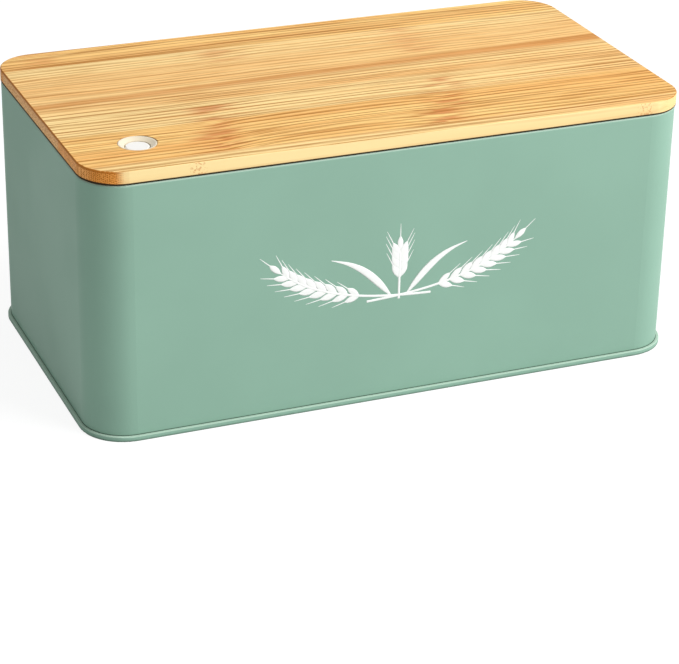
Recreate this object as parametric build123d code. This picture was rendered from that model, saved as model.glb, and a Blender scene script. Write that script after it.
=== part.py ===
from build123d import *
import os

# Bread box: a painted sheet-steel case, and a bamboo lid that lifts off and carries an air vent.
# Millimetres, +Z up. The origin lies on the table under the middle of the case.
# +X runs along the long front and +Y from the front to the back.

# Case, measured over the outer faces of its wall
case_length = 330.0
case_depth = 180.0
case_corner_radius = 22.5
wall_top = 139.4            # table to the ledge that carries the lid
sheet = 0.6                 # sheet steel with its paint

# Ledge folded inwards at the mouth
ledge_width = 7.0           # from the outer face of the wall to the mouth
ledge_lip = 3.0             # height of the lip turned down round the mouth
wall_bend_radius = 1.0      # outer radius of the fold at the top of the wall
lip_bend_radius = 0.8       # outer radius of the fold from ledge to lip

# Rolled seam round the foot, where the base pan grips the wall
hem_reach = 1.1             # the wall's turned-out foot, folded inside the seam
hem_height = 1.6
hem_gap = 0.1               # outside and above the hem, inside the seam
seam_shoulder_radius = 0.6
seam_crease_radius = 0.35   # where the seam's upper face turns down to the wall
seam_foot_radius = 0.5
fit_gap = 0.05              # between pieces that are pressed together
floor_height = 3.0          # table to the top of the raised floor

# Lock seam up the back of the wall
lock_width = 8.0
lock_thickness = 1.1        # how far the folded layers stand into the case
lock_groove_width = 0.5
lock_groove_depth = 0.25

# Lid, two plies of bamboo strips
lid_setback = 0.1           # lid's edge behind the wall's outer face
lid_corner_radius = 20.8    # squarer than the wall's corners
top_ply = 7.6
plinth_ply = 6.0
mouth_clearance = 0.9       # between the plinth and the mouth, all round
lid_edge_radius = 0.7       # eased edge round the top
lid_under_chamfer = 0.8     # eased edge under the flange, the upper side of a groove round the box
plinth_edge_radius = 1.0
top_strip_width = 20.8
front_top_strip_width = 9.6
plinth_strip_width = 25.0
front_plinth_strip_width = 13.7

# Air vent through the lid, near its front left corner
vent_from_end = 35.8        # from the case's left face to the vent's centre
vent_from_front = 33.8      # from the case's front face to the vent's centre
cap_diameter = 12.4
cap_thickness = 2.2
cap_edge_radius = 0.7
cap_clearance = 0.5         # between the cap and the pocket round it
air_gap = 0.7               # under the cap, between its four feet
sleeve_wall = 1.4           # round the pocket
sleeve_gap = 0.15           # between the sleeve and the wood round it
flange_width = 1.7          # how far ring and retainer stand out from the sleeve
flange_depth = 2.6          # depth of the ring's flange in the wood
flange_gap = 0.25           # between ring or retainer and the wood round it
ring_rim = 0.6              # flat rim round the dish
dish_depth = 1.4            # from the lid's top down to the cap
shelf_width = 1.5           # the shelf in the sleeve that carries the cap
shelf_thickness = 1.0
stem_clearance = 0.3        # between the cap's stem and the shelf's bore
stem_length = 5.0           # below the cap's feet
rib_thickness = 1.6
retainer_thickness = 1.6
retainer_recess = 0.2       # retainer and sleeve end this far inside the wood

# Diameters and places that follow from the sizes above
seam_reach = hem_reach + hem_gap + sheet
seam_height = hem_height + hem_gap + 2 * sheet
pocket_diameter = cap_diameter + 2 * cap_clearance
sleeve_diameter = pocket_diameter + 2 * sleeve_wall
ring_diameter = sleeve_diameter + 2 * flange_width
shelf_bore = pocket_diameter - 2 * shelf_width
stem_diameter = shelf_bore - 2 * stem_clearance
lid_bottom = wall_top
lid_top = lid_bottom + top_ply
plinth_bottom = lid_bottom - plinth_ply
plinth_inset = ledge_width + mouth_clearance
vent_x = -case_length / 2 + vent_from_end
vent_y = -case_depth / 2 + vent_from_front
cut_past = 1.0              # how far a cutting solid runs past the face that it cuts


def block(inset, bottom, top, top_radius=0.0, bottom_radius=0.0, corner_radius=None):
    """Rounded-rectangle block whose side lies inset from the case's outer face.

    Its corners follow the case's own, unless it has a corner radius of its own.
    """
    if corner_radius is None:
        corner_radius = case_corner_radius - inset
    outline = RectangleRounded(case_length - 2 * inset, case_depth - 2 * inset, corner_radius)
    solid = Pos(0, 0, bottom) * extrude(outline, top - bottom)
    if top_radius > 0:
        solid = fillet(solid.faces().sort_by(Axis.Z)[-1].edges(), top_radius)
    if bottom_radius > 0:
        solid = fillet(solid.faces().sort_by(Axis.Z)[0].edges(), bottom_radius)
    return solid


def disc(diameter, bottom, top):
    """Upright cylinder on the vent's axis."""
    return Pos(vent_x, vent_y, bottom) * extrude(Circle(diameter / 2), top - bottom)


def make_wall_band():
    """One sheet wrapped round the case: ledge and lip at the mouth, double hem at the foot."""
    outside = block(0, sheet, wall_top, top_radius=wall_bend_radius)
    inside = block(sheet, 0, wall_top - sheet, top_radius=wall_bend_radius - sheet)
    mouth = block(ledge_width, 0, wall_top + cut_past)
    hem = block(-hem_reach, sheet, sheet + hem_height) - block(sheet, 0, wall_top)
    lip = block(ledge_width - sheet, wall_top - ledge_lip, wall_top - sheet) - mouth
    band = outside - inside - mouth + hem + lip

    ledge_face = band.faces().filter_by(Plane.XY).sort_by(Axis.Z)[-1]
    band = fillet(ledge_face.inner_wires()[0].edges(), lip_bend_radius)

    lock_bottom = floor_height + fit_gap
    lock_height = wall_top - sheet - lock_bottom
    lock_face = case_depth / 2 - sheet
    lock_layers = Pos(0, lock_face - lock_thickness / 2, lock_bottom + lock_height / 2) * Box(
        lock_width, lock_thickness, lock_height
    )
    groove_bottom = seam_height
    groove_height = wall_top - wall_bend_radius - groove_bottom
    groove = Pos(lock_width / 2, case_depth / 2, groove_bottom + groove_height / 2) * Box(
        lock_groove_width, 2 * lock_groove_depth, groove_height
    )
    return band + lock_layers - groove


def make_base_pan():
    """Pressed base: raised floor, and an edge rolled up and over the wall's hem."""
    pan_inset = sheet + fit_gap
    roll = block(
        -seam_reach,
        0,
        seam_height,
        top_radius=seam_shoulder_radius,
        bottom_radius=seam_foot_radius,
    )
    wall_room = block(-fit_gap, sheet, seam_height + cut_past)
    roll -= wall_room
    upper_face = roll.faces().filter_by(Plane.XY).sort_by(Axis.Z)[-1]
    roll = fillet(upper_face.inner_wires()[0].edges(), seam_crease_radius)
    hem_room = block(-(hem_reach + hem_gap), sheet, seam_height - sheet)
    floor_panel = block(pan_inset, 0, floor_height, top_radius=sheet)
    recess = block(pan_inset + sheet, -cut_past, floor_height - sheet)
    return roll - hem_room + floor_panel - recess


def make_lid_plies():
    """The top ply with the lid's visible edge, and the plinth that drops into the mouth."""
    top = block(
        lid_setback,
        lid_bottom,
        lid_top,
        top_radius=lid_edge_radius,
        corner_radius=lid_corner_radius,
    )
    top = chamfer(top.faces().sort_by(Axis.Z)[0].edges(), lid_under_chamfer)
    plinth = block(plinth_inset, plinth_bottom, lid_bottom, bottom_radius=plinth_edge_radius)
    hole = disc(sleeve_diameter + 2 * sleeve_gap, plinth_bottom - cut_past, lid_top + cut_past)
    flange_seat = disc(ring_diameter + 2 * flange_gap, lid_top - flange_depth, lid_top + cut_past)
    retainer_seat = disc(
        ring_diameter + 2 * flange_gap,
        plinth_bottom - cut_past,
        plinth_bottom + retainer_recess + retainer_thickness,
    )
    return top - hole - flange_seat, plinth - hole - retainer_seat


def saw_into_strips(ply, inset, front_width, width):
    """Cut a ply along its length: a front strip, whole strips, and a back strip of what is left."""
    front = -case_depth / 2 + inset
    back = case_depth / 2 - inset
    first_joint = front + front_width
    strips_behind = max(1, round((back - first_joint) / width))
    edges = [front] + [first_joint + width * i for i in range(strips_behind)] + [back]
    strips = []
    for near, far in zip(edges, edges[1:]):
        saw_box = Pos(0, (near + far) / 2, (plinth_bottom + lid_top) / 2) * Box(
            case_length - 2 * inset + 2 * cut_past, far - near, lid_top - plinth_bottom
        )
        strips.append(ply & saw_box)
    return strips


def make_vent_ring():
    """Moulded ring: flat rim, dish, pocket for the cap, shelf, and a sleeve through the lid."""
    sleeve_end = plinth_bottom + retainer_recess
    dish_bottom = lid_top - dish_depth
    shelf_top = dish_bottom - cap_thickness - air_gap
    dish_radius = ring_diameter / 2 - ring_rim
    body = disc(ring_diameter, lid_top - flange_depth, lid_top)
    body += disc(sleeve_diameter, sleeve_end, lid_top)
    dish = Pos(vent_x, vent_y, (lid_top + dish_bottom) / 2) * Cone(
        pocket_diameter / 2, dish_radius, dish_depth
    )
    pocket = disc(pocket_diameter, shelf_top, dish_bottom)
    bore = disc(shelf_bore, sleeve_end, lid_top)
    lower_bore = disc(pocket_diameter, sleeve_end, shelf_top - shelf_thickness)
    return body - dish - pocket - bore - lower_bore


def make_vent_cap():
    """Round cap on a cross of ribs, whose four feet stand on the ring's shelf."""
    cap_top = lid_top - dish_depth
    cap_bottom = cap_top - cap_thickness
    foot = cap_bottom - air_gap
    cap = disc(cap_diameter, cap_bottom, cap_top)
    cap = fillet(cap.faces().sort_by(Axis.Z)[-1].edges(), cap_edge_radius)
    ribs = Pos(vent_x, vent_y, 0) * (
        Pos(0, 0, (foot + cap_bottom) / 2) * Box(cap_diameter, rib_thickness, air_gap)
        + Pos(0, 0, (foot + cap_bottom) / 2) * Box(rib_thickness, cap_diameter, air_gap)
        + Pos(0, 0, foot - stem_length / 2) * Box(stem_diameter, rib_thickness, stem_length)
        + Pos(0, 0, foot - stem_length / 2) * Box(rib_thickness, stem_diameter, stem_length)
    )
    within_cap = disc(cap_diameter, foot, cap_bottom)
    within_bore = disc(stem_diameter, foot - stem_length, foot)
    return cap + (ribs & within_cap) + (ribs & within_bore)


def make_vent_retainer():
    """Flat ring round the sleeve's lower end, which holds the vent in the lid."""
    bottom = plinth_bottom + retainer_recess
    outer = disc(ring_diameter, bottom, bottom + retainer_thickness)
    return outer - disc(sleeve_diameter + 2 * fit_gap, bottom, bottom + retainer_thickness)


def make_pieces():
    """Every separate piece of the bread box, by name."""
    top, plinth = make_lid_plies()
    pieces = {"wall_band": make_wall_band(), "base_pan": make_base_pan()}
    top_strips = saw_into_strips(top, lid_setback, front_top_strip_width, top_strip_width)
    for number, strip in enumerate(top_strips, start=1):
        pieces[f"lid_top_strip_{number}"] = strip
    plinth_strips = saw_into_strips(
        plinth, plinth_inset, front_plinth_strip_width, plinth_strip_width
    )
    for number, strip in enumerate(plinth_strips, start=1):
        pieces[f"lid_plinth_strip_{number}"] = strip
    pieces["vent_ring"] = make_vent_ring()
    pieces["vent_cap"] = make_vent_cap()
    pieces["vent_retainer"] = make_vent_retainer()
    return pieces


os.makedirs("parts", exist_ok=True)
for name, piece in make_pieces().items():
    export_step(piece, f"parts/{name}.step")
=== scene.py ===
import math
from dataclasses import dataclass

import bpy
from mathutils import Matrix, Vector


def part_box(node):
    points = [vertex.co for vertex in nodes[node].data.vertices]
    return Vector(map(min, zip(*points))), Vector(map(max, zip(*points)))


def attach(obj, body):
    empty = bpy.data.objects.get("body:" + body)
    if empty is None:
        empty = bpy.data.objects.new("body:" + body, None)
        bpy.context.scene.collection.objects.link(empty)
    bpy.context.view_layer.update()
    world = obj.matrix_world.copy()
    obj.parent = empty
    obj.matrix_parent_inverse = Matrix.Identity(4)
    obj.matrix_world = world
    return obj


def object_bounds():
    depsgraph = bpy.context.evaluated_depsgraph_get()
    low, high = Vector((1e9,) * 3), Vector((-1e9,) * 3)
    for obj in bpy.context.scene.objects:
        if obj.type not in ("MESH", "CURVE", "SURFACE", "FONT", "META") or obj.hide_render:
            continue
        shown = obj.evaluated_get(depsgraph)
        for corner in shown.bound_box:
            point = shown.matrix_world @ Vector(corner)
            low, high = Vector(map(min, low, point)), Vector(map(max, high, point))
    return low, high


bl_info = {
    "name": "Bread Box Finishes",
    "version": (1, 0, 0),
    "blender": (4, 5, 0),
    "location": "View3D > Sidebar > Bread Box",
    "description": "Paint, bamboo, moulded plastic and a printed ornament for a lidded bread box",
    "category": "Object",
}

# Metres, +Z up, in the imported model's own frame
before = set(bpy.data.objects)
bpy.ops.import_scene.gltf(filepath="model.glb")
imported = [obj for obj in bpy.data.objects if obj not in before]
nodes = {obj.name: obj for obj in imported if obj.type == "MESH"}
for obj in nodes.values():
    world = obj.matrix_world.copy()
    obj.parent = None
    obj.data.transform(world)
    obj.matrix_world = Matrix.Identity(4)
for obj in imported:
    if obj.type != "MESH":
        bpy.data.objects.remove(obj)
cad_low, cad_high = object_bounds()

TOP_STRIPS = sorted(name for name in nodes if name.startswith("lid_top_strip_"))
PLINTH_STRIPS = sorted(name for name in nodes if name.startswith("lid_plinth_strip_"))

# Height of the foot seam's top, and one above it where the wall's faces are flat
SEAM_TOP = 0.0029
ABOVE_SEAM = 0.02
wall_front = min(v.co.y for v in nodes["wall_band"].data.vertices if v.co.z > ABOVE_SEAM)
wall_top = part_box("wall_band")[1].z
lid_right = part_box(TOP_STRIPS[1])[1].x
lid_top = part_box(TOP_STRIPS[1])[1].z
ring_low, ring_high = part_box("vent_ring")
ring_centre = (ring_low + ring_high) / 2
ring_radius = (ring_high.x - ring_low.x) / 2

FLOAT = "NodeSocketFloat"
VECTOR = "NodeSocketVector"


@dataclass
class StripLook:
    """How one bamboo strip differs from its neighbours.

    The nodes are places along X, and the bow is how far the grain arches between them, both in
    metres. The seed picks the strip's own pattern. Each other number scales an effect, and 0
    leaves it out.
    """

    tone: str
    first_node: float
    second_node: float
    seed: float
    waviness: float = 1.0
    bow: float = 0.0
    knots: float = 1.0
    band: float = 0.0
    cream: float = 0.0
    warm: float = 0.0
    lines: float = 1.0


# Seed of the patterns that run on across the joints
BOARD_SEED = 5.0

# Place of a node that the strip doesn't have, far past the lid's ends
AWAY = 1.0

# Looks of the strips, from the front of the lid to its back
TOP_LOOKS = [
    StripLook("pale", -0.109, 0.138, 1.7, waviness=0.4, knots=0.1, cream=1.0, warm=0.6),
    StripLook("honey", -0.091, 0.031, 4.1, bow=0.005, warm=0.8),
    StripLook("honey", -0.086, 0.042, 9.3, bow=0.003, warm=1.0),
    StripLook("pale", -0.079, 0.047, 13.6, bow=0.001, warm=1.0),
    StripLook("pale", AWAY, AWAY, 17.2, waviness=0.5, warm=0.6),
    StripLook("pale", AWAY, AWAY, 23.8, waviness=0.6, band=1.0, warm=0.4, lines=0.7),
    StripLook("pale", 0.062, AWAY, 27.5, waviness=1.8, knots=0.4, lines=0.6),
    StripLook("pale", -0.046, 0.058, 31.4, waviness=1.8, knots=0.5, lines=0.7),
    StripLook("honey", -0.142, AWAY, 36.9, waviness=0.8, knots=0.5, band=0.5),
]
PLINTH_LOOKS = [
    StripLook("honey", -0.121, 0.094, 41.3, waviness=0.6),
    StripLook("pale", 0.018, AWAY, 44.7, waviness=0.8),
    StripLook("honey", -0.070, 0.143, 48.2),
    StripLook("pale", -0.134, 0.066, 52.9, waviness=0.7),
    StripLook("honey", 0.005, AWAY, 57.1),
    StripLook("pale", -0.048, 0.109, 61.6, waviness=1.2),
    StripLook("honey", -0.098, 0.081, 66.4),
]


def length_property(name, description, default):
    """A length that a user may change."""
    return bpy.props.FloatProperty(
        name=name, description=description, default=default, unit="LENGTH", precision=5
    )


def share_property(name, description, default):
    """A share from 0 to 1 that a user may change."""
    return bpy.props.FloatProperty(
        name=name, description=description, default=default, min=0.0, max=1.0, subtype="FACTOR"
    )


def colour_property(name, description, default):
    """A colour that a user may change."""
    return bpy.props.FloatVectorProperty(
        name=name, description=description, default=default, min=0.0, max=1.0, subtype="COLOR"
    )


class BREADBOX_PG_paint(bpy.types.PropertyGroup):
    """Sage paint on the steel case"""

    colour: colour_property("Paint", "Colour of the paint", (0.268, 0.442, 0.348))
    # Paler tone painted on the wall's top fold and on the seam's shoulder as a highlight
    painted_highlight: colour_property("Painted highlight", "Paint on the folds, thinner and paler", (0.46, 0.60, 0.50))
    # Dark tone painted in the seam's crease as shade, and on the seam's foot
    shade_and_grime: colour_property("Shade and grime", "Colour of the dirt in the seam's crease", (0.06, 0.10, 0.075))
    roughness: share_property("Roughness", "Roughness of the satin paint", 0.50)
    shine: share_property("Shine", "Strength of the paint's reflections", 0.10)
    peel_size: length_property("Peel size", "Size of the ripples in the paint", 0.0014)
    peel_depth: length_property("Peel depth", "Depth of the ripples in the paint", 0.000012)


class BREADBOX_PG_bamboo(bpy.types.PropertyGroup):
    """Bamboo of the lid"""

    cream: colour_property("Front edge", "Colour of the lid's long front edge", (1.00, 0.80, 0.40))
    pale: colour_property("Pale strips", "Colour of the palest strips", (1.00, 0.75, 0.34))
    honey: colour_property("Honey strips", "Colour of the darker strips", (1.00, 0.67, 0.25))
    amber: colour_property("Streaks", "Colour of the broad streaks", (0.86, 0.35, 0.07))
    line: colour_property("Growth lines", "Colour of the darker growth lines", (0.42, 0.16, 0.02))
    band: colour_property("Bands", "Colour of the broad darker bands", (0.66, 0.25, 0.05))
    node: colour_property("Nodes", "Colour of the cane's nodes", (0.58, 0.13, 0.03))
    # Near black, painted as shadow under the lid's edge and beside the vent's bore
    arris: colour_property("Painted edge shadow", "Colour of the lid's lower edge", (0.035, 0.024, 0.012))
    end_pale: colour_property("Pale ends", "Colour of the pale strips' cut ends", (1.00, 0.62, 0.27))
    end_honey: colour_property("Honey ends", "Colour of the darker strips' ends", (1.00, 0.50, 0.16))
    end_dark: colour_property("End dots", "Colour of the fibre ends", (0.44, 0.13, 0.01))
    line_spacing: length_property("Line spacing", "Spacing of the growth lines", 0.0044)
    fibre_width: length_property("Fibre width", "Width of one fibre", 0.0009)
    dot_spacing: length_property("Dot spacing", "Spacing of the fibre ends", 0.0008)
    glue_width: length_property("Glue line", "Width of the glue line between strips", 0.00016)
    roughness: share_property("Roughness", "Roughness of the oiled bamboo", 0.56)
    shine: share_property("Shine", "Strength of the bamboo's reflections", 0.10)
    relief: length_property("Relief", "Depth of the fibres' relief", 0.00002)


class BREADBOX_PG_plastic(bpy.types.PropertyGroup):
    """Moulded plastic of the air vent"""

    ivory: colour_property("Ring", "Colour of the vent's ring", (0.84, 0.74, 0.56))
    white: colour_property("Cap", "Colour of the vent's cap", (0.91, 0.90, 0.87))
    roughness: share_property("Roughness", "Roughness of the moulded plastic", 0.32)
    grain_size: length_property("Grain size", "Size of the mould's grain", 0.0004)
    grain_depth: length_property("Grain depth", "Depth of the mould's grain", 0.000006)


class BREADBOX_PG_ornament(bpy.types.PropertyGroup):
    """Wheat ears printed on the front of the case"""

    colour: colour_property("Ink", "Colour of the printed ears", (0.93, 0.94, 0.92))
    half_width: length_property("Half width", "From the middle to the tip of an ear", 0.0745)
    foot: length_property("Foot", "Height of the stems' lower ends over the table", 0.0575)
    head: length_property("Head", "Height of the upper tips over the table", 0.0925)
    grain_length: length_property("Grain length", "Length of one grain", 0.0098)
    grain_width: length_property("Grain width", "Width of one grain", 0.0040)
    awn_length: length_property("Awn length", "Length of the bristle on a grain", 0.0105)
    awn_width: length_property("Awn width", "Width of the bristle on a grain", 0.0006)
    stem_width: length_property("Stem width", "Width of a stem", 0.0013)
    relief: length_property("Relief", "How far the print stands out from the wall", 0.00014)
    pairs: bpy.props.IntProperty(
        name="Pairs", description="Pairs of grains on a lying ear", default=8, min=2, max=20
    )


class BREADBOX_PG_stage(bpy.types.PropertyGroup):
    """Floor, lights and camera"""

    camera_place: bpy.props.FloatVectorProperty(
        name="Camera", description="Where the camera stands",
        default=(-0.46308, -1.11933, 0.58228), subtype="TRANSLATION", unit="LENGTH",
    )
    azimuth: bpy.props.FloatProperty(
        name="Azimuth", description="Camera's turn round the box, 0 from the front",
        default=math.radians(-22.6845), subtype="ANGLE",
    )
    elevation: bpy.props.FloatProperty(
        name="Elevation", description="Camera's angle above the horizon",
        default=math.radians(25.8164), subtype="ANGLE",
    )
    roll: bpy.props.FloatProperty(
        name="Roll", description="Camera's turn about its own axis",
        default=math.radians(1.1810), subtype="ANGLE",
    )
    lens: bpy.props.FloatProperty(
        name="Lens", description="Focal length for a 36 mm sensor", default=127.3, unit="CAMERA"
    )
    fill: bpy.props.FloatProperty(
        name="Fill", description="Even light from all round", default=0.43, min=0.0
    )
    key_power: bpy.props.FloatProperty(
        name="Key light", description="Power of the large light at the front right",
        default=103.5, min=0.0, unit="POWER",
    )
    key_size: length_property("Key size", "Side of the key light", 2.1)
    key_distance: length_property("Key distance", "From the box to the key light", 3.0)
    floor_size: length_property("Floor size", "Side of the floor", 8.0)


class Wiring:
    """Adds nodes to one shader tree and joins them."""

    def __init__(self, tree):
        self.tree = tree

    def add(self, kind, **settings):
        node = self.tree.nodes.new(kind)
        for name, value in settings.items():
            setattr(node, name, value)
        return node

    def feed(self, socket, source):
        """Link a socket to another one, or set it to a value."""
        if isinstance(source, bpy.types.NodeSocket):
            self.tree.links.new(source, socket)
        else:
            socket.default_value = source

    def math(self, operation, *sources, clamp=False):
        node = self.add("ShaderNodeMath", operation=operation, use_clamp=clamp)
        for socket, source in zip(node.inputs, sources):
            self.feed(socket, source)
        return node.outputs[0]

    def vector(self, operation, *sources):
        node = self.add("ShaderNodeVectorMath", operation=operation)
        for socket, source in zip(node.inputs, sources):
            self.feed(socket, source)
        return node.outputs[0]

    def split(self, vector):
        node = self.add("ShaderNodeSeparateXYZ")
        self.feed(node.inputs[0], vector)
        return node.outputs

    def join(self, x, y, z):
        node = self.add("ShaderNodeCombineXYZ")
        for socket, source in zip(node.inputs, (x, y, z)):
            self.feed(socket, source)
        return node.outputs[0]

    def noise(self, place, size, seed, detail=1.0):
        """Noise from 0 to 1 whose lumps have the given size along X, Y and Z."""
        node = self.add("ShaderNodeTexNoise", noise_dimensions="4D")
        self.feed(node.inputs["Vector"], self.vector("DIVIDE", place, size))
        self.feed(node.inputs["W"], seed)
        node.inputs["Scale"].default_value = 1.0
        node.inputs["Detail"].default_value = detail
        return node.outputs[0]

    def step(self, value, low, high, start=0.0, end=1.0):
        """Smooth step from start, at low, to end, at high."""
        node = self.add("ShaderNodeMapRange", interpolation_type="SMOOTHSTEP")
        for socket, source in zip(node.inputs, (value, low, high, start, end)):
            self.feed(socket, source)
        return node.outputs[0]

    def mix(self, share, first, second):
        """Mix of two colours, given as sockets or as three numbers."""
        node = self.add("ShaderNodeMix", data_type="RGBA")
        factor, colour_a, colour_b = node.inputs[0], node.inputs[6], node.inputs[7]
        self.feed(factor, share)
        for socket, source in ((colour_a, first), (colour_b, second)):
            if not isinstance(source, bpy.types.NodeSocket):
                source = (*source, 1.0)
            self.feed(socket, source)
        return node.outputs[2]

    def tint(self, colour, *marks):
        """A colour turned towards other tones by marks, each given as (mask, share, tone)."""
        for mask, share, tone in marks:
            if share > 0.0:
                colour = self.mix(self.math("MULTIPLY", mask, share), colour, tone)
        return colour

    def nearest(self, value, first, second):
        """Distance from a value to the nearer of two others."""
        to_first = self.math("ABSOLUTE", self.math("SUBTRACT", value, first))
        to_second = self.math("ABSOLUTE", self.math("SUBTRACT", value, second))
        return self.math("MINIMUM", to_first, to_second)

    def group(self, tree, **sources):
        """A node group placed in this tree. Its inputs are named with _ for a space."""
        node = self.add("ShaderNodeGroup", node_tree=tree)
        for name, source in sources.items():
            self.feed(node.inputs[name.replace("_", " ")], source)
        return node.outputs

    def place(self):
        """Object coordinates, which are metres in the box's own frame."""
        return self.add("ShaderNodeTexCoord").outputs["Object"]

    def normal(self):
        return self.add("ShaderNodeTexCoord").outputs["Normal"]

    def bump(self, height, depth):
        """Normal of a surface whose height runs from 0 to the given depth."""
        node = self.add("ShaderNodeBump")
        self.feed(node.inputs["Height"], height)
        node.inputs["Distance"].default_value = depth
        return node.outputs[0]


def new_group(name, inputs, outputs):
    """An empty node group: its tree, its wiring, its given sockets and its result sockets."""
    tree = bpy.data.node_groups.new(name, "ShaderNodeTree")
    for label, kind in inputs:
        tree.interface.new_socket(label, in_out="INPUT", socket_type=kind)
    for label in outputs:
        tree.interface.new_socket(label, in_out="OUTPUT", socket_type=FLOAT)
    wiring = Wiring(tree)
    given = wiring.add("NodeGroupInput").outputs
    results = wiring.add("NodeGroupOutput").inputs
    return tree, wiring, given, results


def shared_group(name, build):
    """The node group of a name, built at its first use."""
    return bpy.data.node_groups.get(name) or build(name)


def empty_wiring(block):
    """Wiring on the emptied node tree of a material or a world."""
    block.use_nodes = True
    block.node_tree.nodes.clear()
    return Wiring(block.node_tree)


def new_material(name):
    """A material with one Principled shader: the material, its wiring and the shader."""
    material = bpy.data.materials.new(name)
    wiring = empty_wiring(material)
    shader = wiring.add("ShaderNodeBsdfPrincipled")
    output = wiring.add("ShaderNodeOutputMaterial")
    wiring.feed(output.inputs["Surface"], shader.outputs[0])
    return material, wiring, shader


def wear(piece, material):
    """Give a piece one material and no other."""
    piece.data.materials.clear()
    piece.data.materials.append(material)


def darker(colour, share):
    """A colour brought down to a share of its brightness."""
    return [share * channel for channel in colour]


# Sizes of the lumps in the grain's patterns, along X, Y and Z or along X alone
SLOW_LUMP = (0.20, 0.06, 0.06)
QUICK_LUMP = (0.07, 0.012, 0.012)
STREAK_LUMP = (0.42, 0.013, 0.013)
BOLD_LUMP = (0.09, 0.004, 0.004)
FAINT_LUMP = (0.05, 0.003, 0.003)
NODE_LUMP = (0.022, 0.0032, 0.0032)
DOT_LUMP = (0.0011, 0.0011, 0.0011)
LINE_LENGTH = 0.32
SOFT_LENGTH = 0.26
FIBRE_LENGTH = 0.014

# How far the grain wanders across the strip
SLOW_WANDER = 0.009
QUICK_WANDER = 0.0010

# Growth lines: how far they stray and their half widths, as shares of their own spacing
LINE_STRAY = 1.6
LINE_HALF = 0.19
HAIR_HALF = 0.25

# Spacing of the hairlines, as a share of the line spacing
HAIR_SPACING = 0.85

# Where a node's smudge and its dots fade out, along the strip from the node
NODE_FADE = (0.002, 0.019)
DOT_FADE = (0.0020, 0.0056)

# The band: half its width, its frayed edge, its slant, and the sides of its broad dark streak
BAND_HALF = 0.0062
BAND_FRAY = 0.004
BAND_SLANT = 0.027
STREAK_FRONT = (-0.0085, -0.0045)
STREAK_BACK = (0.0004, 0.0024)


def growth_lines(w, bent, spacing, seed, half_width):
    """Thin lines along the cane, uneven in their spacing."""
    stray = w.noise(bent, w.join(LINE_LENGTH, spacing, spacing), seed)
    count = w.math("DIVIDE", w.split(bent)[1], spacing)
    count = w.math("ADD", count, w.math("MULTIPLY", stray, LINE_STRAY))
    to_line = w.math("PINGPONG", count, 0.5)
    return w.step(to_line, half_width * 0.4, half_width, 1.0, 0.0)


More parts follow.
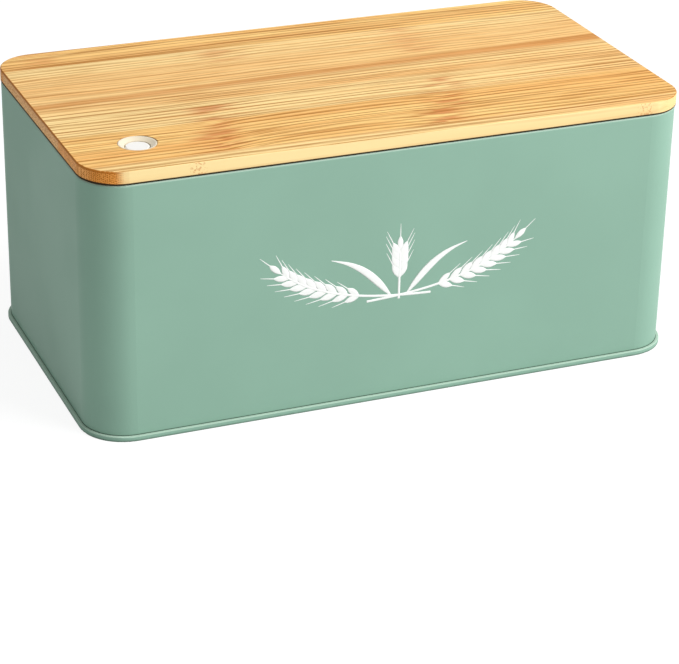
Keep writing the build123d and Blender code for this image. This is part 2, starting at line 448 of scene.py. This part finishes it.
def build_grain_group(name):
    """Lengthwise streaks, growth lines and fibres of bamboo, with its nodes and its band."""
    tree, w, given, results = new_group(
        name,
        [
            ("Place", VECTOR),
            ("Seed", FLOAT),
            ("Line spacing", FLOAT),
            ("Fibre width", FLOAT),
            ("Waviness", FLOAT),
            ("Bow", FLOAT),
            ("First node", FLOAT),
            ("Second node", FLOAT),
            ("Band middle", FLOAT),
            ("Band half", FLOAT),
        ],
        ["Streaks", "Soft lines", "Lines", "Hairlines", "Fibres", "Nodes", "Node dots", "Band"],
    )
    place = given["Place"]
    seed = given["Seed"]
    x = w.split(place)[0]

    # The grain wanders slowly across the board, and bows between two nodes
    slow = w.math("SUBTRACT", w.noise(place, SLOW_LUMP, BOARD_SEED), 0.5)
    quick = w.math("SUBTRACT", w.noise(place, QUICK_LUMP, BOARD_SEED), 0.5)
    wander = w.math(
        "ADD", w.math("MULTIPLY", slow, SLOW_WANDER), w.math("MULTIPLY", quick, QUICK_WANDER)
    )
    wander = w.math("MULTIPLY", wander, given["Waviness"])
    first, second = given["First node"], given["Second node"]
    middle = w.math("MULTIPLY", w.math("ADD", first, second), 0.5)
    reach = w.math("ABSOLUTE", w.math("MULTIPLY", w.math("SUBTRACT", second, first), 0.5))
    along = w.math("DIVIDE", w.math("SUBTRACT", x, middle), reach)
    hump = w.math("SUBTRACT", 1.0, w.math("MULTIPLY", along, along), clamp=True)
    shift = w.math("SUBTRACT", wander, w.math("MULTIPLY", hump, given["Bow"]))
    bent = w.vector("ADD", place, w.join(0.0, shift, shift))

    # Broad streaks run on across the joints, and finer lines belong to one strip
    spacing = given["Line spacing"]
    streak_field = w.noise(bent, STREAK_LUMP, BOARD_SEED, detail=2.0)
    w.feed(results["Streaks"], w.step(streak_field, 0.40, 0.62))
    soft_field = w.noise(bent, w.join(SOFT_LENGTH, spacing, spacing), seed)
    w.feed(results["Soft lines"], w.step(soft_field, 0.50, 0.66))
    bold = w.step(w.noise(bent, BOLD_LUMP, seed), 0.34, 0.62, 0.25, 1.0)
    lines = growth_lines(w, bent, spacing, seed, LINE_HALF)
    w.feed(results["Lines"], w.math("MULTIPLY", lines, bold))
    hair_spacing = w.math("MULTIPLY", spacing, HAIR_SPACING)
    faint = w.step(w.noise(bent, FAINT_LUMP, BOARD_SEED), 0.34, 0.60, 0.3, 1.0)
    hairlines = growth_lines(w, bent, hair_spacing, BOARD_SEED, HAIR_HALF)
    w.feed(results["Hairlines"], w.math("MULTIPLY", hairlines, faint))
    fibre = given["Fibre width"]
    w.feed(results["Fibres"], w.noise(bent, w.join(FIBRE_LENGTH, fibre, fibre), seed, detail=2.0))

    # A node is a soft smudge of short streaks, and a cluster of dots on the lid's edge
    from_node = w.nearest(x, first, second)
    smudge = w.step(from_node, *NODE_FADE, 1.0, 0.0)
    patches = w.step(w.noise(bent, NODE_LUMP, seed), 0.40, 0.60)
    w.feed(results["Nodes"], w.math("MULTIPLY", smudge, patches))
    dots = w.step(w.noise(place, DOT_LUMP, seed), 0.52, 0.60)
    cluster = w.step(from_node, *DOT_FADE, 1.0, 0.0)
    w.feed(results["Node dots"], w.math("MULTIPLY", dots, cluster))

    # The band slants and frays. It is faint, with a broad dark streak towards its back
    frayed = w.math("MULTIPLY", w.math("SUBTRACT", soft_field, 0.5), BAND_FRAY)
    slant = w.math("MULTIPLY", x, BAND_SLANT)
    across = w.math("ADD", w.math("SUBTRACT", w.split(place)[1], slant), frayed)
    from_band = w.math("SUBTRACT", across, given["Band middle"])
    half = given["Band half"]
    inner = w.math("MULTIPLY", half, 0.5)
    body = w.step(w.math("ABSOLUTE", from_band), inner, half, 0.2, 0.0)
    from_streak = w.math("SUBTRACT", from_band, w.math("MULTIPLY", half, 0.8))
    rise = w.step(from_streak, *STREAK_FRONT)
    fall = w.step(from_streak, *STREAK_BACK, 0.8, 0.0)
    w.feed(results["Band"], w.math("ADD", body, w.math("MULTIPLY", rise, fall), clamp=True))
    return tree


# Heights on the lid's edge between which its browner rim sets in
RIM = (lid_top - 0.0015, lid_top - 0.0008)

# How high the painted shadow reaches on the slope under the lid's edge, and over what height it fades
SHADOW_ON_SIDES = wall_top + 0.0013
SHADOW_ON_ENDS = wall_top + 0.0017
SHADOW_FADE = 0.0003

# The painted shadow round the vent: where it fades, out from the ring, and which way it lies
BORE_FADE = (0.0006, 0.0011)
BORE_SIDE = (0.86, 0.50)


def build_edge_group(name):
    """The cut sides of a bamboo strip: its ends with their fibre dots, and the painted shadows under
    its lower edge and beside the vent's bore.
    """
    tree, w, given, results = new_group(
        name,
        [("Place", VECTOR), ("Normal", VECTOR), ("Dot spacing", FLOAT)],
        ["Dots", "Cut face", "Curve", "Side", "Upper edge", "Lower edge", "Bore"],
    )
    x, y, z = w.split(given["Place"])

    # How far a face turns to the lid's ends, how level it is, and whether it faces upwards
    facing = w.split(given["Normal"])
    endwise = w.math("ABSOLUTE", facing[0])
    level = w.math("ABSOLUTE", facing[2])
    upwards = w.step(facing[2], -0.1, 0.1)

    # The fibres end in slanting rows
    rising = w.math("MULTIPLY", w.math("ADD", y, z), math.sqrt(0.5))
    falling = w.math("MULTIPLY", w.math("SUBTRACT", z, y), math.sqrt(0.5))
    spacing = given["Dot spacing"]
    dots = w.add("ShaderNodeTexVoronoi")
    rows = w.vector("DIVIDE", w.join(x, rising, falling), w.join(spacing, spacing, spacing))
    w.feed(dots.inputs["Vector"], rows)
    dots.inputs["Scale"].default_value = 1.0
    dots.inputs["Randomness"].default_value = 0.30
    rim = w.step(z, *RIM, 0.0, 0.8)
    fibre_ends = w.step(dots.outputs["Distance"], 0.25, 0.60, 1.0, 0.0)
    w.feed(results["Dots"], w.math("MAXIMUM", fibre_ends, rim))

    # The browner end grain runs on round the left corners, and at a quarter of its strength round the
    # right ones, a painted highlight where the light falls from the right
    at_left = w.math("MULTIPLY", w.step(endwise, 0.0, 0.36), w.step(x, -0.02, 0.02, 1.0, 0.25))
    straight = w.step(endwise, 0.70, 0.98, 0.0, 0.8)
    w.feed(results["Cut face"], w.math("MAXIMUM", at_left, straight))
    w.feed(results["Curve"], w.step(endwise, 0.75, 0.98, 1.0, 0.0))
    w.feed(results["Side"], w.step(level, 0.40, 0.80, 1.0, 0.0))

    # The rounded upper edge is darker, above all on the ends
    at_ends = w.math("MULTIPLY", upwards, w.step(endwise, 0.1, 0.5, 0.2, 1.0))
    off_level = w.step(level, 0.90, 0.99, 1.0, 0.0)
    rounded = w.math("MULTIPLY", w.step(level, 0.45, 0.70), off_level)
    w.feed(results["Upper edge"], w.math("MULTIPLY", rounded, at_ends))

    # Painted shadow: near black on the slope under the lid's visible edge, higher on the ends, riding
    # on the lid
    shadow_top = w.step(endwise, 0.2, 0.9, SHADOW_ON_SIDES, SHADOW_ON_ENDS)
    low_down = w.step(z, w.math("SUBTRACT", shadow_top, SHADOW_FADE), shadow_top, 1.0, 0.0)
    over_plinth = w.step(z, wall_top - 0.0001, wall_top)
    on_slope = w.step(level, 0.80, 0.95, 1.0, 0.0)
    slope = w.math("MULTIPLY", over_plinth, on_slope)
    w.feed(results["Lower edge"], w.math("MULTIPLY", low_down, slope))

    # A painted shadow also lies on one side of the vent's bore
    across = w.math("SUBTRACT", x, ring_centre.x)
    back = w.math("SUBTRACT", y, ring_centre.y)
    squares = w.math("ADD", w.math("MULTIPLY", across, across), w.math("MULTIPLY", back, back))
    from_ring = w.math("SUBTRACT", w.math("SQRT", squares), ring_radius)
    round_ring = w.step(from_ring, *BORE_FADE, 1.0, 0.0)
    side_x, side_y = BORE_SIDE
    sideways = w.math("ADD", w.math("MULTIPLY", across, side_x), w.math("MULTIPLY", back, side_y))
    one_side = w.step(sideways, ring_radius * 0.70, ring_radius * 0.96)
    w.feed(results["Bore"], w.math("MULTIPLY", round_ring, one_side))
    return tree


def build_joint_group(name):
    """Glue line on each side of a strip."""
    tree, w, given, results = new_group(
        name,
        [("Place", VECTOR), ("Near joint", FLOAT), ("Far joint", FLOAT), ("Width", FLOAT)],
        ["Glue"],
    )
    from_joint = w.nearest(w.split(given["Place"])[1], given["Near joint"], given["Far joint"])
    w.feed(results["Glue"], w.step(from_joint, 0.0, given["Width"], 1.0, 0.0))
    return tree


# Heights on the case where a highlight is painted, where shade is painted in the crease, and where
# the foot turns darker
FOLD = (wall_top - 0.0007, wall_top - 0.0003)
SHOULDER = (SEAM_TOP - 0.0006, SEAM_TOP - 0.0002)
CREASE = (SEAM_TOP + 0.0001, SEAM_TOP + 0.0004)
FOOT = (0.0003, 0.0016)

# Lumps of the paint's clouds and of the scuffs along its foot
PAINT_CLOUD = (0.06, 0.06, 0.06)
SCUFF = (0.004, 0.004, 0.0006)


def build_paint_group(name):
    """Cloudiness and ripples of paint on pressed sheet, with masks for painted highlights on the
    folds, painted shade in the crease and a darker, scuffed foot.
    """
    tree, w, given, results = new_group(
        name,
        [("Place", VECTOR), ("Peel size", FLOAT), ("Seed", FLOAT)],
        ["Clouds", "Peel", "Fold", "Shoulder", "Crease", "Foot"],
    )
    place = given["Place"]
    seed = given["Seed"]
    clouds = w.noise(place, PAINT_CLOUD, seed, detail=2.0)
    w.feed(results["Clouds"], w.step(clouds, 0.3, 0.7))
    size = given["Peel size"]
    w.feed(results["Peel"], w.noise(place, w.join(size, size, size), seed))

    # A highlight is painted on the wall's top fold and on the seam's shoulder, shade is painted in
    # the crease above the seam, and the foot turns darker in scuffs
    z = w.split(place)[2]
    w.feed(results["Fold"], w.step(z, *FOLD))
    w.feed(results["Shoulder"], w.step(z, *SHOULDER))
    w.feed(results["Crease"], w.step(z, *CREASE, 1.0, 0.0))
    at_foot = w.step(z, *FOOT, 1.0, 0.0)
    scuffs = w.step(w.noise(place, SCUFF, seed), 0.35, 0.65, 0.7, 1.0)
    w.feed(results["Foot"], w.math("MULTIPLY", at_foot, scuffs))
    return tree


# Lumps of a moulding's cloudiness
MOULDING_CLOUD = (0.006, 0.006, 0.006)


def build_moulding_group(name):
    """Fine grain and soft cloudiness of moulded plastic."""
    tree, w, given, results = new_group(
        name,
        [("Place", VECTOR), ("Grain size", FLOAT), ("Seed", FLOAT)],
        ["Clouds", "Grain"],
    )
    place = given["Place"]
    seed = given["Seed"]
    size = given["Grain size"]
    w.feed(results["Clouds"], w.noise(place, MOULDING_CLOUD, seed, detail=2.0))
    w.feed(results["Grain"], w.noise(place, w.join(size, size, size), seed))
    return tree


def paint_material(name, settings, seed, marks):
    """Satin paint on one pressed part of the case, with marks given as (mask, share, tone)."""
    material, w, shader = new_material(name)
    group = shared_group("paint on sheet", build_paint_group)
    effect = w.group(group, Place=w.place(), Peel_size=settings.peel_size, Seed=seed)
    clouded = w.mix(effect["Clouds"], settings.colour, darker(settings.colour, 0.955))
    colour = w.tint(clouded, *[(effect[mask], share, tone) for mask, share, tone in marks])
    w.feed(shader.inputs["Base Color"], colour)
    rough = w.step(effect["Clouds"], 0.0, 1.0, settings.roughness - 0.03, settings.roughness + 0.03)
    w.feed(shader.inputs["Roughness"], rough)
    shader.inputs["Specular IOR Level"].default_value = settings.shine
    w.feed(shader.inputs["Normal"], w.bump(effect["Peel"], settings.peel_depth))
    return material


# Where the lid begins to turn browner towards its right end
BROWNING_START = 0.03


def bamboo_material(node, look, settings):
    """Oiled bamboo for one strip, with its own tone, nodes and glue joints."""
    material, w, shader = new_material(node + "_bamboo")
    low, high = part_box(node)
    place = w.place()
    grain = w.group(
        shared_group("bamboo grain", build_grain_group),
        Place=place,
        Seed=look.seed,
        Line_spacing=settings.line_spacing,
        Fibre_width=settings.fibre_width,
        Waviness=look.waviness,
        Bow=look.bow,
        First_node=look.first_node,
        Second_node=look.second_node,
        Band_middle=low.y + BAND_HALF,
        Band_half=BAND_HALF,
    )
    edges = w.group(
        shared_group("bamboo edges", build_edge_group),
        Place=place,
        Normal=w.normal(),
        Dot_spacing=settings.dot_spacing,
    )
    joint = w.group(
        shared_group("glue joint", build_joint_group),
        Place=place,
        Near_joint=low.y,
        Far_joint=high.y,
        Width=settings.glue_width,
    )

    # Some strips turn browner towards the lid's right end
    pale = look.tone == "pale"
    right_end = w.step(w.split(place)[0], BROWNING_START, lid_right)
    face = w.tint(
        settings.pale if pale else settings.honey,
        (right_end, 0.30 * look.warm, settings.amber),
        (grain["Streaks"], 0.36, settings.amber),
        (grain["Soft lines"], 0.24, settings.amber),
        (grain["Nodes"], 0.64 * look.knots, settings.node),
        (grain["Band"], 0.70 * look.band, settings.band),
        (grain["Hairlines"], 0.80 * look.lines, settings.line),
        (grain["Lines"], 0.70 * look.lines, settings.line),
        (w.step(grain["Fibres"], 0.45, 0.75), 0.24, settings.line),
    )

    # The lid's long front edge is pale and nearly plain
    front_edge = w.tint(
        settings.cream,
        (grain["Streaks"], 0.14, settings.amber),
        (grain["Hairlines"], 0.14, settings.line),
        (grain["Node dots"], 0.45, settings.node),
    )

    # The curves took up more oil than the straight ends
    end_tone = settings.end_pale if pale else settings.end_honey
    oiled = w.mix(edges["Curve"], end_tone, settings.amber)
    cut_end = w.mix(edges["Dots"], oiled, settings.end_dark)

    # The painted shadows lie over all else
    colour = w.tint(
        face,
        (edges["Side"], look.cream, front_edge),
        (edges["Cut face"], 1.0, cut_end),
        (edges["Upper edge"], 0.75, settings.line),
        (joint["Glue"], 0.12, settings.line),
        (edges["Bore"], 0.75, settings.arris),
        (edges["Lower edge"], 1.0, settings.arris),
    )
    w.feed(shader.inputs["Base Color"], colour)

    # The slope with the painted shadow is matt
    rough = w.step(grain["Fibres"], 0.3, 0.8, settings.roughness - 0.05, settings.roughness + 0.10)
    shadow_matt = w.math("MULTIPLY", edges["Lower edge"], 0.95)
    w.feed(shader.inputs["Roughness"], w.math("MAXIMUM", rough, shadow_matt))
    shader.inputs["Specular IOR Level"].default_value = settings.shine
    height = w.math("SUBTRACT", grain["Fibres"], w.math("MULTIPLY", joint["Glue"], 0.5))
    w.feed(shader.inputs["Normal"], w.bump(height, settings.relief))
    return material


def clouded_material(name, colour, settings, seed, shade, roughness):
    """A material that clouds over to a share of its colour, between two values of roughness."""
    material, w, shader = new_material(name)
    group = shared_group("moulded plastic", build_moulding_group)
    effect = w.group(group, Place=w.place(), Grain_size=settings.grain_size, Seed=seed)
    w.feed(shader.inputs["Base Color"], w.mix(effect["Clouds"], colour, darker(colour, shade)))
    w.feed(shader.inputs["Roughness"], w.step(effect["Clouds"], 0.2, 0.8, *roughness))
    w.feed(shader.inputs["Normal"], w.bump(effect["Grain"], settings.grain_depth))
    return material


def plastic_material(name, colour, settings, seed):
    """Semi-gloss moulded plastic."""
    roughness = (settings.roughness - 0.04, settings.roughness + 0.06)
    return clouded_material(name, colour, settings, seed, shade=0.95, roughness=roughness)


class BREADBOX_OT_paint_case(bpy.types.Operator):
    """Paint the wall and the base pan"""

    bl_idname = "breadbox.paint_case"
    bl_label = "Paint Case"

    def execute(self, context):
        settings = context.scene.breadbox_paint
        # A highlight is painted on the fold and the shoulder, shade in the crease, and the foot is
        # darker
        on_wall = [("Fold", 0.85, settings.painted_highlight), ("Crease", 0.97, settings.shade_and_grime)]
        on_pan = [("Shoulder", 0.75, settings.painted_highlight), ("Foot", 0.75, settings.shade_and_grime)]
        wall_paint = paint_material("wall_paint", settings, seed=3.0, marks=on_wall)
        pan_paint = paint_material("pan_paint", settings, seed=8.0, marks=on_pan)
        wear(nodes["wall_band"], wall_paint)
        wear(nodes["base_pan"], pan_paint)
        return {"FINISHED"}


class BREADBOX_OT_finish_bamboo(bpy.types.Operator):
    """Give every strip of the lid its own bamboo"""

    bl_idname = "breadbox.finish_bamboo"
    bl_label = "Finish Bamboo"

    def execute(self, context):
        settings = context.scene.breadbox_bamboo
        strips = list(zip(TOP_STRIPS, TOP_LOOKS)) + list(zip(PLINTH_STRIPS, PLINTH_LOOKS))
        for name, look in strips:
            wear(nodes[name], bamboo_material(name, look, settings))
        return {"FINISHED"}


class BREADBOX_OT_finish_vent(bpy.types.Operator):
    """Finish the vent's ring, cap and retainer as moulded plastic"""

    bl_idname = "breadbox.finish_vent"
    bl_label = "Finish Vent"

    def execute(self, context):
        settings = context.scene.breadbox_plastic
        ivory = plastic_material("ring_plastic", settings.ivory, settings, seed=2.0)
        white = plastic_material("cap_plastic", settings.white, settings, seed=5.0)
        wear(nodes["vent_ring"], ivory)
        wear(nodes["vent_retainer"], ivory)
        wear(nodes["vent_cap"], white)
        return {"FINISHED"}


def bezier(points, t):
    """Place and direction at t, from 0 to 1, on a cubic curve with four points."""
    a, b, c, d = (Vector(p) for p in points)
    s = 1.0 - t
    place = a * s**3 + b * (3 * s**2 * t) + c * (3 * s * t**2) + d * t**3
    slope = (b - a) * (3 * s**2) + (c - b) * (6 * s * t) + (d - c) * (3 * t**2)
    return place, slope.normalized()


def draw_stroke(points, widths, relief):
    """A closed, flattened stroke on the wall's front face, through points given as (x, z)."""
    bpy.ops.object.select_all(action="DESELECT")
    bpy.ops.curve.primitive_nurbs_path_add()
    stroke = bpy.context.object
    curve = stroke.data
    curve.splines.clear()
    spline = curve.splines.new("NURBS")
    spline.points.add(len(points) - 1)
    for point, (x, z), width in zip(spline.points, points, widths):
        point.co = (x, 0.0, z, 1.0)
        point.radius = width / 2
    spline.order_u = 3
    spline.use_endpoint_u = True
    curve.bevel_depth = 1.0
    curve.bevel_resolution = 2
    curve.resolution_u = 4
    curve.use_fill_caps = True
    bpy.ops.object.convert(target="MESH")
    flatten = relief / (max(widths) / 2)
    bpy.ops.transform.resize(value=(1.0, flatten, 1.0), center_override=(0.0, 0.0, 0.0))
    bpy.ops.transform.translate(value=(0.0, wall_front, 0.0))
    bpy.ops.object.transform_apply(location=True, rotation=True, scale=True)
    return stroke


def lean(direction, angle):
    """A direction in the wall's plane, as (x, z), turned by an angle."""
    c, s = math.cos(angle), math.sin(angle)
    return Vector((direction.x * c - direction.y * s, direction.x * s + direction.y * c))


# Widths at even steps along a grain and along its awn, as shares of the full width
GRAIN_SWELL = (0.12, 0.80, 1.0, 0.86, 0.10)
AWN_TAPER = (1.0, 0.9, 0.7, 0.3)

# How far a grain leans out from its stem, and the share of its full size that the last one has
GRAIN_LEAN = math.radians(27)
TIP_SIZE = 0.85

# Where the grains begin along a stem, from 0 at its foot to 1 at its tip
LYING_START = 0.42
UPRIGHT_START = 0.38

# Pairs of grains on the upright ear, and the width of a lying ear's leaf
UPRIGHT_PAIRS = 4
LEAF_WIDTH = 0.0042


def draw_spike(root, direction, length, widths, relief):
    """A straight stroke from root, with its widths at even steps."""
    last = len(widths) - 1
    points = [root + direction * (length * i / last) for i in range(last + 1)]
    return draw_stroke(points, widths, relief)


def draw_curve(path, widths, relief):
    """A stroke along a cubic curve, with its widths at even steps."""
    last = len(widths) - 1
    points = [bezier(path, i / last)[0] for i in range(last + 1)]
    return draw_stroke(points, widths, relief)


def draw_grain(root, direction, size, settings):
    """One grain, growing from root, and its awn."""
    length = settings.grain_length * size
    widths = [settings.grain_width * size * share for share in GRAIN_SWELL]
    awn_root = root + direction * (length * 3 / 4)
    awn_length = settings.awn_length * size
    awn_widths = [settings.awn_width * share for share in AWN_TAPER]
    return [
        draw_spike(root, direction, length, widths, settings.relief),
        draw_spike(awn_root, direction, awn_length, awn_widths, settings.relief * 0.8),
    ]


def draw_ear(path, start, pairs, settings):
    """Grains in pairs along a stem, from start to its end, and one at the tip."""
    strokes = []
    for i in range(pairs):
        t = start + (1.0 - start) * i / pairs
        root, direction = bezier(path, t)
        size = 0.82 + 0.18 * math.sin(math.pi * (i + 1) / (pairs + 1))
        for side in (-1, 1):
            strokes += draw_grain(root, lean(direction, side * GRAIN_LEAN), size, settings)
    tip, direction = bezier(path, 1.0)
    strokes += draw_grain(tip, direction, TIP_SIZE, settings)
    return strokes


def draw_stem(path, settings):
    """The stem under an ear."""
    widths = [settings.stem_width] * 10 + [settings.stem_width * 0.5]
    return draw_curve(path, widths, settings.relief)


def draw_leaf(path, settings):
    """A long pointed leaf."""
    steps = 8
    swell = [max(0.08, math.sin(math.pi * (i / steps) ** 0.8)) for i in range(steps + 1)]
    return draw_curve(path, [LEAF_WIDTH * share for share in swell], settings.relief)


def join_strokes(strokes, name, material):
    """One piece of all the strokes, riding on the case."""
    bpy.ops.object.select_all(action="DESELECT")
    for stroke in strokes:
        stroke.select_set(True)
    bpy.context.view_layer.objects.active = strokes[0]
    bpy.ops.object.join()
    piece = bpy.context.object
    piece.name = name
    bpy.ops.object.shade_smooth()
    wear(piece, material)
    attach(piece, "case")
    return piece


def ink_material(name, colour, settings):
    """White ink printed on the paint."""
    return clouded_material(name, colour, settings, seed=12.0, shade=0.93, roughness=(0.46, 0.58))


class BREADBOX_OT_print_ornament(bpy.types.Operator):
    """Print three ears of wheat on the front of the case"""

    bl_idname = "breadbox.print_ornament"
    bl_label = "Print Ornament"

    def execute(self, context):
        settings = context.scene.breadbox_ornament
        ink = ink_material("white_ink", settings.colour, context.scene.breadbox_plastic)
        foot = settings.foot
        head = settings.head

        # The stems end short of the ears' tips, which the last awn reaches
        tip_x = settings.half_width - 0.009
        tip_z = head - 0.012
        for name, side in (("wheat_ear_left", -1), ("wheat_ear_right", 1)):
            path = [
                (-0.018 * side, foot),
                (0.016 * side, foot + 0.001),
                (0.046 * side, foot + 0.006),
                (tip_x * side, tip_z),
            ]
            leaf_path = [
                (0.004 * side, foot + 0.001),
                (0.012 * side, foot + 0.010),
                (0.020 * side, foot + 0.022),
                (0.038 * side, foot + 0.026),
            ]
            strokes = [draw_stem(path, settings), draw_leaf(leaf_path, settings)]
            strokes += draw_ear(path, LYING_START, settings.pairs, settings)
            join_strokes(strokes, name, ink)
        heights = (foot - 0.001, foot + 0.01, foot + 0.02, head - 0.009)
        path = [(0.0, height) for height in heights]
        strokes = [draw_stem(path, settings)]
        strokes += draw_ear(path, UPRIGHT_START, UPRIGHT_PAIRS, settings)
        join_strokes(strokes, "wheat_ear_upright", ink)
        return {"FINISHED"}


def seen_white(w):
    """1 on the rays that show a background as white: those of the camera, gloss and glass."""
    path = w.add("ShaderNodeLightPath").outputs
    seen = w.math("MAXIMUM", path["Is Camera Ray"], path["Is Glossy Ray"])
    return w.math("MAXIMUM", seen, path["Is Transmission Ray"])


# Greys of the floor, as it lights the box and as it is seen, and the glow that it is seen with
FLOOR_GREY = (0.72, 0.72, 0.72)
FLOOR_SEEN = (0.22, 0.22, 0.22)
FLOOR_GLOW = 0.87

# Which way the key light lies from the box
KEY_DIRECTION = (0.60, -0.49, 0.63)

# Width of the camera's sensor in millimetres
SENSOR_WIDTH = 36.0


def floor_material():
    """White floor that still shows the box's shadow, faintly as in a bright studio."""
    material = bpy.data.materials.new("studio_floor")
    w = empty_wiring(material)
    seen = seen_white(w)
    matt = w.add("ShaderNodeBsdfDiffuse")
    w.feed(matt.inputs["Color"], w.mix(seen, FLOOR_GREY, FLOOR_SEEN))
    glow = w.add("ShaderNodeEmission")
    w.feed(glow.inputs["Strength"], w.math("MULTIPLY", seen, FLOOR_GLOW))
    both = w.add("ShaderNodeAddShader")
    w.feed(both.inputs[0], matt.outputs[0])
    w.feed(both.inputs[1], glow.outputs[0])
    output = w.add("ShaderNodeOutputMaterial")
    w.feed(output.inputs["Surface"], both.outputs[0])
    return material


def set_world(fill):
    """Even fill light, with a white background for the camera and for reflections."""
    world = bpy.data.worlds.new("studio")
    w = empty_wiring(world)
    background = w.add("ShaderNodeBackground")
    w.feed(background.inputs["Color"], (1.0, 1.0, 1.0, 1.0))
    w.feed(background.inputs["Strength"], w.step(seen_white(w), 0.0, 1.0, fill, 1.0))
    output = w.add("ShaderNodeOutputWorld")
    w.feed(output.inputs["Surface"], background.outputs[0])
    bpy.context.scene.world = world


def set_floor(stage):
    """The floor that the box stands on."""
    bpy.ops.object.select_all(action="DESELECT")
    bpy.ops.mesh.primitive_plane_add(size=stage.floor_size)
    floor = bpy.context.object
    floor.name = "studio_floor"
    wear(floor, floor_material())


def set_key(stage):
    """A large soft lamp that faces the middle of the box."""
    bpy.ops.object.light_add(type="AREA")
    key = bpy.context.object
    key.name = "key_light"
    key.data.energy = stage.key_power
    key.data.size = stage.key_size
    middle = (cad_low + cad_high) / 2
    place = middle + Vector(KEY_DIRECTION).normalized() * stage.key_distance
    turn = (middle - place).to_track_quat("-Z", "Y")
    key.matrix_world = Matrix.Translation(place) @ turn.to_matrix().to_4x4()


def set_camera(stage):
    """The camera, from its place and its three angles."""
    azimuth, elevation, roll = stage.azimuth, stage.elevation, stage.roll
    level_x, level_y = math.cos(azimuth), math.sin(azimuth)
    level = Vector((level_x, level_y, 0.0))
    reach = math.cos(elevation)
    back = Vector((level_y * reach, -level_x * reach, math.sin(elevation)))
    upward = back.cross(level)
    right = level * math.cos(roll) + upward * math.sin(roll)
    up = upward * math.cos(roll) - level * math.sin(roll)
    turn = Matrix((right, up, back)).transposed().to_4x4()
    bpy.ops.object.camera_add()
    camera = bpy.context.object
    camera.name = "photo_camera"
    camera.matrix_world = Matrix.Translation(stage.camera_place) @ turn
    camera.data.lens = stage.lens
    camera.data.sensor_width = SENSOR_WIDTH
    bpy.context.scene.camera = camera


class BREADBOX_OT_set_stage(bpy.types.Operator):
    """Set the floor, the lights and the camera"""

    bl_idname = "breadbox.set_stage"
    bl_label = "Set Stage"

    def execute(self, context):
        stage = context.scene.breadbox_stage
        set_floor(stage)
        set_key(stage)
        set_world(stage.fill)
        set_camera(stage)
        context.scene.view_settings.view_transform = "Standard"
        return {"FINISHED"}


class BREADBOX_PT_sidebar(bpy.types.Panel):
    """Finishes of the bread box"""

    bl_idname = "BREADBOX_PT_sidebar"
    bl_label = "Bread Box"
    bl_space_type = "VIEW_3D"
    bl_region_type = "UI"
    bl_category = "Bread Box"

    def draw(self, context):
        for operator in OPERATORS:
            self.layout.operator(operator.bl_idname)
        for name in SETTINGS:
            box = self.layout.box()
            group = getattr(context.scene, name)
            box.label(text=group.bl_rna.description)
            for field in group.bl_rna.properties.keys():
                if field not in ("rna_type", "name"):
                    box.prop(group, field)


SETTINGS = {
    "breadbox_paint": BREADBOX_PG_paint,
    "breadbox_bamboo": BREADBOX_PG_bamboo,
    "breadbox_plastic": BREADBOX_PG_plastic,
    "breadbox_ornament": BREADBOX_PG_ornament,
    "breadbox_stage": BREADBOX_PG_stage,
}
OPERATORS = (
    BREADBOX_OT_paint_case,
    BREADBOX_OT_finish_bamboo,
    BREADBOX_OT_finish_vent,
    BREADBOX_OT_print_ornament,
    BREADBOX_OT_set_stage,
)


def register():
    for name, group in SETTINGS.items():
        bpy.utils.register_class(group)
        setattr(bpy.types.Scene, name, bpy.props.PointerProperty(type=group))
    for operator in OPERATORS:
        bpy.utils.register_class(operator)
    bpy.utils.register_class(BREADBOX_PT_sidebar)


def unregister():
    bpy.utils.unregister_class(BREADBOX_PT_sidebar)
    for operator in reversed(OPERATORS):
        bpy.utils.unregister_class(operator)
    for name, group in reversed(SETTINGS.items()):
        delattr(bpy.types.Scene, name)
        bpy.utils.unregister_class(group)


def main():
    """Dress the whole box."""
    register()
    bpy.ops.breadbox.set_stage()
    bpy.ops.breadbox.paint_case()
    bpy.ops.breadbox.finish_bamboo()
    bpy.ops.breadbox.finish_vent()
    bpy.ops.breadbox.print_ornament()


if __name__ == "__main__":
    main()
